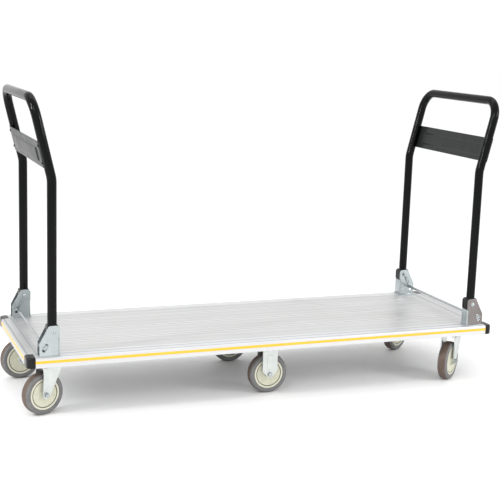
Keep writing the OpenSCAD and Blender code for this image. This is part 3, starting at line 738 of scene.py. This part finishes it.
def plank_outline(w):
    """Section of a plank of width w: chamfered edges, two fine grooves, a low middle rib, and ribs below."""
    depth = deck_top - deck_under
    rib = 2.5 * MM
    seam = 1.8 * MM
    tiny = 0.3 * MM
    corners = [(0, 0, 0), (rib, 0, tiny), (rib, depth - wall, MM)]
    corners += [((w - rib) / 2, depth - wall, MM), ((w - rib) / 2, 0, tiny),
                ((w + rib) / 2, 0, tiny), ((w + rib) / 2, depth - wall, MM)]
    corners += [(w - rib, depth - wall, MM), (w - rib, 0, tiny), (w, 0, 0)]
    corners += [(w, depth - seam, tiny), (w - seam, depth, 0.5 * MM)]
    for place, rise in ((78 * MM, -0.5 * MM), (59 * MM, 0.25 * MM), (20 * MM, -0.5 * MM)):
        if place < w - 8 * MM:
            corners += [(place + 2 * MM, depth, tiny), (place + 0.9 * MM, depth + rise, tiny),
                        (place - 0.9 * MM, depth + rise, tiny), (place - 2 * MM, depth, tiny)]
    corners += [(seam, depth, 0.5 * MM), (0, depth - seam, tiny)]
    return fillet(corners, 3)


def add_planks():
    """Planks laid from the front rail, the last one cut to the width that is left."""
    end_gap = 0.8 * MM
    start = -field_y
    number = 0
    while start < field_y - MM:
        number += 1
        place = Matrix.Translation((0, start, deck_under))
        outline = plank_outline(min(plank_w, field_y - start))
        piece = prism(f"deck_plank_{number}", outline, lambda inset: field_x - end_gap, place)
        dress(piece, deck_metal, "platform", "deck_aluminium", "deck_planks")
        start += plank_w


def add_corner_caps():
    """Moulded caps with a round upright edge, rounded like the rails above, and a small step below."""
    proud = 0.6 * MM
    levels = [(0, MM), (0.8 * MM, 0.2 * MM), (1.6 * MM, 0)]
    top_steps, corner_steps = 8, 12
    for k in range(top_steps + 1):
        a = math.pi / 2 * k / top_steps
        levels.append((rail_h - rail_r + math.sin(a) * (rail_r + proud), rail_r - math.cos(a) * rail_r))
    rings = []
    for z, inset in levels:
        reach = cap_r + proud - inset
        ring = [Vector((-cap_x, -cap_y, z)), Vector((-cap_x, proud - inset, z))]
        for k in range(corner_steps + 1):
            a = math.pi / 2 * (1 - k / corner_steps)
            ring.append(Vector((reach * math.cos(a) - cap_r, reach * math.sin(a) - cap_r, z)))
        ring.append(Vector((proud - inset, -cap_y, z)))
        rings.append(ring)
    verts = [p for ring in rings for p in ring]
    cap = outward(new_piece("cap", verts, stacked_faces(len(rings), len(rings[0])), 40))
    moved(cap, Matrix.Translation((half_l, half_w, rail_under)))
    parts = [copied(cap, "cap_copy", mirrored(sx, sy)) for sx in (-1, 1) for sy in (-1, 1)]
    bpy.data.objects.remove(cap)
    dress(joined("moulded_caps", parts), black_plastic, "platform", "black_plastic", "corner_caps")


# ---- Hinges ----

def upright(x, y, z):
    """Matrix for a plate that stands across Y: local X is outboard and local Y is up."""
    return across_cart(Vector((x, y, z)), -1)


def bracket_sides():
    """The right-hand rear bracket's two sides, with their slots."""
    bend = 4 * MM
    step = 1.2 * MM
    outline = fillet([
        (-side_in + bend, 0, 0), (side_out, 0, 0), (side_out, side_knee, 6 * MM),
        (side_top, bracket_h, 9 * MM), (-side_in, bracket_h, 9 * MM),
        (-side_in, web_h + step, 1 * MM), (-side_in + bend, web_h + step, 0.5 * MM)], 6)
    ahead = Vector((slot_dir.x, slot_dir.z))
    slot = capsule(Vector((rod_o, rod_centre.z - deck_top)) - ahead * slot_room,
                   ahead * (slot_room + slot_travel), rod_r + 0.4 * MM)
    parts = []
    for s in (-1, 1):
        place = upright(leg_x, leg_y + s * (channel_y - sheet / 2), deck_top)
        parts.append(plate("side", outline, [slot], sheet, 0.6 * MM, place))
    return joined("sides", parts)


def bracket_web():
    """The right-hand rear bracket's web, with its round bends, and its base."""
    bend = 4 * MM
    middle = bend - sheet / 2
    path = []
    for s in (1, -1):
        arc = [(-side_in + bend - middle * math.sin(a), s * (channel_y - bend + middle * math.cos(a)))
               for a in (math.pi / 2 * k / 6 for k in range(7))]
        path += arc if s > 0 else arc[::-1]
    rows = [[Vector((leg_x + x, leg_y + y, deck_top + z)) for z in (0, web_h / 2, web_h)] for x, y in path]
    web = baked(soften(thicken(sheet_grid("web", rows), sheet), 0.5 * MM))
    corner = 3 * MM
    base = fillet([(bracket_lo.x, bracket_lo.y, corner), (bracket_hi.x, bracket_lo.y, corner),
                   (bracket_hi.x, bracket_hi.y, corner), (bracket_lo.x, bracket_hi.y, corner)], 4)
    flat = plate("base", base, [], sheet, 0.7 * MM, Matrix.Translation((0, 0, deck_top + sheet / 2)))
    return joined("web_and_base", [web, flat])


def baked(piece):
    """The piece with its modifiers applied."""
    bpy.context.view_layer.update()
    evaluated = piece.evaluated_get(bpy.context.evaluated_depsgraph_get())
    mesh = bpy.data.meshes.new_from_object(evaluated)
    verts = [v.co.copy() for v in mesh.vertices]
    faces = [list(face.vertices) for face in mesh.polygons]
    bpy.data.objects.remove(piece)
    return new_piece("part", verts, faces)


QUADRANTS = [(side, row, sx, sy) for side, sx in (("left", -1), ("right", 1))
             for row, sy in (("front", -1), ("rear", 1))]


def add_brackets():
    """The four brackets. The right-hand front one's sides are painted darker and browner, a painted dark
    brown reflection.
    """
    sides, web = bracket_sides(), bracket_web()
    for side, row, sx, sy in QUADRANTS:
        name = f"{side}_{row}_bracket"
        # Painted reflection: the right-hand front bracket's sides take the darker, browner zinc.
        plating = brown_reflection_zinc if name == "right_front_bracket" else bracket_zinc
        piece = copied(sides, name + "_sides", mirrored(sx, sy))
        dress(piece, plating, "platform", "zinc_plate", name)
        piece = copied(web, name + "_web", mirrored(sx, sy))
        dress(piece, bracket_zinc, "platform", "zinc_plate", name)
    bpy.data.objects.remove(sides)
    bpy.data.objects.remove(web)


def both_ends(piece, material, bodies, slot, nodes, name):
    """Copies a piece, made for the right-hand end's rear side, to both sides of both ends."""
    for side, sx in (("left", -1), ("right", 1)):
        parts = [copied(piece, "part", mirrored(sx, sy)) for sy in (-1, 1)]
        whole = joined(f"{side}_{name}", parts)
        dress(whole, material, bodies.format(side), slot, *[node.format(side) for node in nodes])
    bpy.data.objects.remove(piece)


def dome(r, height, steps=6):
    """Outline of a dome on a flat base, from the rim to the axis."""
    sphere = (r * r + height * height) / (2 * height)
    top = math.asin(r / sphere)
    slopes = [top * (1 - k / steps) for k in range(steps + 1)]
    return [(sphere * math.sin(a), height - sphere + sphere * math.cos(a)) for a in slopes]


def add_pins():
    """Domed rivets through the brackets, with a grooved stub inboard for the spring's hook."""
    place = across_cart(Vector((leg_x, leg_y, pivot.z)))
    inner = -channel_y
    end = inner - 10 * MM
    shank_r = 5 * MM
    neck_r = 4 * MM
    flange_r = 5.2 * MM
    head_r, head_h, head_edge = 6.5 * MM, 2.8 * MM, 0.4 * MM
    outline = [(0, end), (flange_r - 0.5 * MM, end), (flange_r, end + 0.4 * MM), (flange_r, end + 0.9 * MM),
               (neck_r, end + 1.4 * MM), (neck_r, inner - 0.6 * MM), (flange_r, inner), (shank_r, inner),
               (shank_r, channel_y), (head_r - 0.3 * MM, channel_y)]
    outline += [(r, channel_y + head_edge + z) for r, z in dome(head_r, head_h)]
    pin = lathe("pin", outline, place, 40)
    both_ends(pin, bracket_zinc, "platform", "zinc_plate", ["{}_pivot_pins"], "domed_pins")


def add_lock_rods():
    """Lock rods with chamfered ends, their washers and push-on nuts."""
    place = across_cart(Vector((rod_centre.x, 0, rod_centre.z)))
    chamfer = 0.8 * MM
    cone_r, cone_h = 2.4 * MM, 2.8 * MM
    half = [(0, rod_half - cone_h), (cone_r, rod_half), (rod_r - chamfer, rod_half),
            (rod_r, rod_half - chamfer)]
    outline = [(r, -y) for r, y in half] + half[::-1]
    for side, sx in (("left", -1), ("right", 1)):
        rod = moved(lathe("rod", outline, place, 40), mirrored(sx, 1))
        rod.name = side + "_round_rod"
        dress(rod, bright_metal, side + "_lock", "bright_steel", side + "_lock_rod")
    face = leg_y + channel_y + 0.4 * MM
    bore = rod_r / MM
    disc = [(bore, 0), (8.2, 0), (8.5, 0.3), (8.5, 1), (8.2, 1.3), (7.5, 1.4)]
    collar = [(7.2, 1.8), (6.9, 2.8), (6.5, 3.1), (6.1, 2.8), (6, 1), (bore, 1)]
    nut = lathe("nut", [(r, face + h) for r, h in in_mm(disc + collar)], place, 40)
    both_ends(nut, bright_metal, "{}_lock", "bright_steel", ["{}_rod_washers"], "push_nuts")


def spring_path():
    """Centreline of a spring's wire: a hook round the pin, the coil, and a hook round the rod."""
    start = Vector((leg_x, leg_y - channel_y - 5 * MM, pivot.z))
    end = Vector((rod_centre.x, start.y, rod_centre.z))
    ahead = (end - start).normalized()
    across = ahead.cross(Y_AXIS)
    wire = 0.6 * MM
    length = (end - start).length
    hook_a, hook_b = 4 * MM + wire, rod_r + wire
    coil_r = 3.6 * MM
    turns = 15
    first, last = hook_a + 4 * MM, length - hook_b - 4 * MM
    hook_turn, hook_steps = 290, 12
    path = []
    for k in range(hook_steps + 1):
        a = math.radians(70 + hook_turn * k / hook_steps)
        path.append(start + (ahead * math.cos(a) + across * math.sin(a)) * hook_a)
    steps = turns * 14
    for k in range(steps + 1):
        a = 2 * math.pi * turns * k / steps
        along = first + (last - first) * k / steps
        path.append(start + ahead * along + (across * math.cos(a) + Y_AXIS * math.sin(a)) * coil_r)
    for k in range(hook_steps + 1):
        a = math.radians(180 + hook_turn * k / hook_steps)
        path.append(end + (ahead * math.cos(a) + across * math.sin(a)) * hook_b)
    return path, wire, start, end


def add_springs():
    """Wire springs between the pins and the lock rods, left fixed in place: they do not stretch as a rod is
    pressed down.
    """
    path, wire, start, end = spring_path()
    spring = sweep("spring", path, wire, 8)
    for side, sx in (("left", -1), ("right", 1)):
        parts = [copied(spring, "part", mirrored(sx, sy)) for sy in (-1, 1)]
        whole = joined(f"{side}_wire_springs", parts)
        dress(whole, spring_metal, None, "spring_steel", f"{side}_latch_springs")
        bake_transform(whole)
    bpy.data.objects.remove(spring)


# ---- Handles ----

def lean_point(along, y, out=0.0):
    """A point of the leaning upper handle: distance up from the bend, Y, and distance outboard."""
    return Vector((leg_x, y, bend_z)) + LEAN_UP * along + LEAN_OUT * out


def handle_path(foot):
    """Centreline of a right-hand handle, from its front foot over the top bar to its rear foot."""
    bend_steps, corner_steps = 8, 18
    tangent = bend_r * math.tan(kick / 2)
    half = [Vector((leg_x, leg_y, foot)), Vector((leg_x, leg_y, foot + 200 * MM))]
    centre = Vector((leg_x + bend_r, leg_y, bend_z - tangent))
    for k in range(bend_steps + 1):
        a = math.pi - kick * k / bend_steps
        half.append(centre + Vector((math.cos(a), 0, math.sin(a))) * bend_r)
    for k in range(corner_steps + 1):
        a = math.pi / 2 * k / corner_steps
        up = upper_l - corner_r + corner_r * math.sin(a)
        half.append(lean_point(up, leg_y - corner_r * (1 - math.cos(a))))
    other = [Vector((p.x, -p.y, p.z)) for p in half]
    return other + [lean_point(upper_l, 0)] + half[::-1]


def add_handle_tubes():
    foot = deck_top + 54 * MM
    tube = sweep("tube", handle_path(foot), tube_r, 48)
    for side, sx in (("left", -1), ("right", 1)):
        piece = copied(tube, side + "_bent_tube", mirrored(sx, 1))
        dress(piece, black_enamel, side + "_handle", "black_enamel", side + "_handle_tube")
    bpy.data.objects.remove(tube)


def add_knuckles():
    """Moulded blocks at the legs' feet, with rounded corners and edges."""
    across = (knuckle_hi.x - knuckle_lo.x) / 2
    low, high = knuckle_lo.z - deck_top, knuckle_hi.z - deck_top
    outline = fillet([(-across, low, 6 * MM), (across, low, 6 * MM), (across, high, 6 * MM),
                      (-across, high, 6 * MM)], 8)
    thickness = 2 * (knuckle_hi.y - leg_y)
    block = plate("block", outline, [], thickness, 1.8 * MM, upright(leg_x, leg_y, deck_top))
    both_ends(block, black_plastic, "{}_handle", "black_plastic", ["{}_handle_knuckles"],
              "moulded_knuckles")


def smooth_step(t):
    t = min(max(t, 0), 1)
    return t * t * (3 - 2 * t)


def spaced(edges, fine):
    """Stations through the given edges, with fine steps between each marked pair."""
    stations = []
    for (a, b), count in zip(zip(edges, edges[1:]), fine):
        stations += [a + (b - a) * k / count for k in range(count)]
    return stations + [edges[-1]]


def panel_piece():
    """The pressed panel: curled round both legs, with a raised rectangle that has sloping sides."""
    ramp = 7 * MM
    rect_y = leg_y - 38 * MM
    low, high = panel_up + 13 * MM, panel_up + panel_h - 19 * MM
    curl = math.radians(45)
    curl_steps = 6
    r = tube_r + panel_t / 2
    ups = spaced([panel_up, low, low + ramp, high - ramp, high, panel_up + panel_h], [2, 8, 4, 8, 2])
    widths = spaced([-leg_y, -rect_y, ramp - rect_y, rect_y - ramp, rect_y, leg_y], [4, 8, 16, 8, 4])
    rows = []
    for up in ups:
        row = [lean_point(up, -leg_y - r * math.sin(a), r * math.cos(a))
               for a in (curl * (1 - k / curl_steps) for k in range(curl_steps))]
        for y in widths:
            inside = min(rect_y - abs(y), up - low, high - up)
            row.append(lean_point(up, y, r + emboss * smooth_step(inside / ramp)))
        row += [lean_point(up, leg_y + r * math.sin(a), r * math.cos(a))
                for a in (curl * (k + 1) / curl_steps for k in range(curl_steps))]
        rows.append(row)
    return sheet_grid("panel", rows)


def add_panels():
    panel = panel_piece()
    for side, sx in (("left", -1), ("right", 1)):
        piece = thicken(copied(panel, side + "_pressed_panel", mirrored(sx, 1)), panel_t)
        edges = piece.modifiers.new("round edges", "BEVEL")
        edges.width = 0.4 * MM
        edges.segments = 2
        edges.angle_limit = math.radians(50)
        dress(piece, panel_enamel_sheen, side + "_handle", "black_enamel", side + "_handle_panel")
    bpy.data.objects.remove(panel)


def add_panel_rivets():
    """Domed rivets that hold a panel to its legs."""
    parts = []
    out = tube_r + panel_t
    for up in (panel_up + 14 * MM, panel_up + panel_h - 14 * MM):
        place = axes(lean_point(up, leg_y, out - 0.3 * MM), Y_AXIS, LEAN_UP, Y_AXIS.cross(LEAN_UP))
        parts.append(lathe("rivet", [(0, 0)] + dome(5 * MM, 2.6 * MM), place, 24))
    rivet = joined("rivets", parts)
    both_ends(rivet, black_enamel, "{}_handle", "black_enamel", ["{}_panel_rivets"], "domed_rivets")


# ---- Casters ----

def caster_frames():
    """(name, body of the fork, local frame on the floor under the caster, trail) of every caster."""
    found = []
    for name in ("front_left", "front_right", "rear_left", "rear_right", "front_middle", "rear_middle"):
        wheel = Vector(joints[name + "_wheel_spin"]["pos_m"])
        if name + "_swivel" in joints:
            axis = Vector(joints[name + "_swivel"]["pos_m"])
            trail = (wheel - axis).to_2d().length
            turn = math.atan2(wheel.y - axis.y, wheel.x - axis.x)
            body = name + "_swivel"
        else:
            axis, trail, turn, body = wheel, 0.0, 0.0, "platform"
        place = Matrix.Translation((axis.x, axis.y, 0)) @ Matrix.Rotation(turn, 4, "Z")
        found.append((name, body, place, trail))
    return found


def wheel_frame(place, trail, spin):
    """Frame of a wheel: Z along its axle, turned by spin about it."""
    return place @ across_cart(Vector((trail, 0, wheel_r)), -1) @ Matrix.Rotation(spin, 4, "Z")


def both_faces(outline):
    """Mirrors an outline of (radius, half width) for the wheel's other face, and closes it into a ring."""
    return outline + [(r, -w) for r, w in outline[::-1]]


def add_tyre(name, place):
    """Tyre with round shoulders and a slightly crowned tread."""
    half = 16 * MM
    shoulder = 8 * MM
    crown = 0.4 * MM
    steps = 10
    outline = [(seat_r - 0.6 * MM, 12 * MM), (seat_r - 0.2 * MM, 14.6 * MM), (seat_r + 0.6 * MM, 15.2 * MM)]
    outline += [(seat_r + 4 * MM, 15.7 * MM), (wheel_r - 10 * MM, half)]
    for k in range(steps + 1):
        a = math.pi / 2 * k / steps
        r = wheel_r - crown - shoulder * (1 - math.sin(a))
        outline.append((r, half - shoulder * (1 - math.cos(a))))
    outline.append((wheel_r, 2.5 * MM))
    tyre = lathe(name + "_rubber_tyre", both_faces(outline), sides=128, sharp=50)
    tyre.matrix_world = place
    dress(tyre, tyre_material, name + "_wheel", "tyre", name + "_tyre")


def add_hub(name, place):
    """Hub, drawn as (radius, half width) from its bore outwards."""
    boss = [(6.06, 19.5), (6.66, 20.4), (10.6, 20.4), (11.6, 19.6), (12.2, 15.2)]
    disc = [(14, 13.6), (24, 13.2), (36.6, 13.8), (38, 14), (38.8, 13.6)]
    groove = [(39.1, 11.4), (40.7, 11.4), (41, 14.2)]
    rim = [(41.8, 14.9), (44, 15.1), (46, 15)]
    outer = seat_r - 0.2 * MM
    outline = in_mm(boss + disc + groove + rim) + [(outer, 14.4 * MM), (outer, 12 * MM)]
    hub = lathe(name + "_moulded_hub", both_faces(outline), sides=128, sharp=28)
    hub.matrix_world = place
    dress(hub, hub_material, name + "_wheel", "wheel_hub", name + "_hub")


def add_axle(name, body, place, trail):
    """Axle bolt: head on one side, nut and thread end on the other, washers under both, and the sleeve."""
    centre = Vector((trail, 0, wheel_r))
    reach = Y_AXIS * (fork_out + 1.6 * MM)
    head = across_cart(centre - reach, -1)
    nut = across_cart(centre + reach)
    parts = [hex_head("head", 14 * MM, 5 * MM, head), hex_head("nut", 14.6 * MM, 6 * MM, nut)]
    ring = in_mm([(4, 0), (7.6, 0), (8, -0.3), (8, -1.3), (7.6, -1.6), (4, -1.6)])
    parts += [lathe("washer", ring, frame_of, 32) for frame_of in (head, nut)]
    stud = in_mm([(0, 8.4), (3.2, 8.4), (3.9, 7.6), (3.9, 5.5), (0, 5.5)])
    parts.append(lathe("stud", stud, nut, 24))
    sleeve = in_mm([(6, -21), (6, 21), (4.2, 21), (4.2, -21)])
    parts.append(lathe("sleeve", sleeve, across_cart(centre, -1), 32))
    axle = moved(joined(name + "_bolt_and_nut", parts), place)
    dress(axle, bright_metal, body, "bright_steel", name + "_axle")


def add_casters():
    for number, (name, body, place, trail) in enumerate(caster_frames()):
        at_wheel = wheel_frame(place, trail, math.pi / 2 * number)
        add_tyre(name, at_wheel)
        add_hub(name, at_wheel)
        add_axle(name, body, place, trail)


def dress_cad_nodes():
    """Materials, and rounded edges, for the CAD nodes that stay as they are."""
    zinc_nodes = [f"{name}_fork" for name, _, _, _ in caster_frames()]
    zinc_nodes += [name for name in frame["nodes"] if name.endswith("caster_plate")]
    for name in zinc_nodes:
        set_material(name, fork_zinc)
        soften(frame["nodes"][name], 0.6 * MM)
    for name in ("bracket_bolts", "caster_bolts", "swivel_balls"):
        set_material(name, bright_metal)
    set_material("crossbars", steel_paint)
    soften(frame["nodes"]["crossbars"], 0.8 * MM)


def set_material(node, material):
    mesh = frame["nodes"][node].data
    mesh.materials.clear()
    mesh.materials.append(material)


# ---- Studio ----

def add_camera():
    """Camera at the photograph's viewing angle."""
    yaw, pitch, roll = 0.3721, -0.1927, 0.0323
    place = Vector((-1.2991, -3.3239, 1.1152))
    ahead = Vector((math.sin(yaw) * math.cos(pitch), math.cos(yaw) * math.cos(pitch), math.sin(pitch)))
    right = Vector((math.cos(yaw), -math.sin(yaw), 0))
    up = right.cross(ahead)
    right, up = (right * math.cos(roll) + up * math.sin(roll), up * math.cos(roll) - right * math.sin(roll))
    data = bpy.data.cameras.new("camera")
    data.lens = 81.41
    data.sensor_width = 36
    data.clip_end = 100
    camera = bpy.data.objects.new("camera", data)
    camera.matrix_world = axes(place, right, up, -ahead)
    bpy.context.scene.collection.objects.link(camera)
    bpy.context.scene.camera = camera


def add_light(name, place, target, size, power):
    data = bpy.data.lights.new(name, "AREA")
    data.shape = "RECTANGLE"
    data.size, data.size_y = size
    data.energy = power
    light = bpy.data.objects.new(name, data)
    light.location = place
    light.rotation_euler = (Vector(target) - Vector(place)).to_track_quat("-Z", "Y").to_euler()
    bpy.context.scene.collection.objects.link(light)


def add_studio():
    size = 30
    corners = [(-size, -size, 0), (size, -size, 0), (size, size, 0), (-size, size, 0)]
    floor = new_piece("floor", corners, [[0, 1, 2, 3]])
    surface = Surface("floor_paint", (0.9, 0.9, 0.9), 0.6)
    surface.colour(surface.mix(surface.noise(surface.place(), 1.5, 3), (0.9, 0.9, 0.9), (0.92, 0.92, 0.92)))
    floor.data.materials.append(surface.material)
    world = bpy.data.worlds.new("studio")
    world.use_nodes = True
    background = world.node_tree.nodes["Background"]
    background.inputs["Color"].default_value = (1, 1, 1, 1)
    background.inputs["Strength"].default_value = 1.1
    bpy.context.scene.world = world
    add_light("key", (-2.6, -3.2, 3.4), (0, 0, 0.3), (1.6, 1.6), 34)
    add_light("left_strip", (-3.0, -0.8, 2.2), (0.6, -0.2, 1.6), (0.07, 1.5), 50)
    add_light("right_strip", (2.6, -2.2, 1.7), (-0.7, 0, 1.4), (0.08, 1.1), 35)
    add_light("top", (0, 0.6, 3.6), (0, 0, 0), (3.6, 1.2), 20)
    bpy.context.scene.view_settings.view_transform = "Standard"


add_rails()
add_strips()
add_planks()
add_corner_caps()
add_brackets()
add_pins()
add_lock_rods()
add_springs()
add_handle_tubes()
add_knuckles()
add_panels()
add_panel_rivets()
add_casters()
dress_cad_nodes()
add_camera()
add_studio()
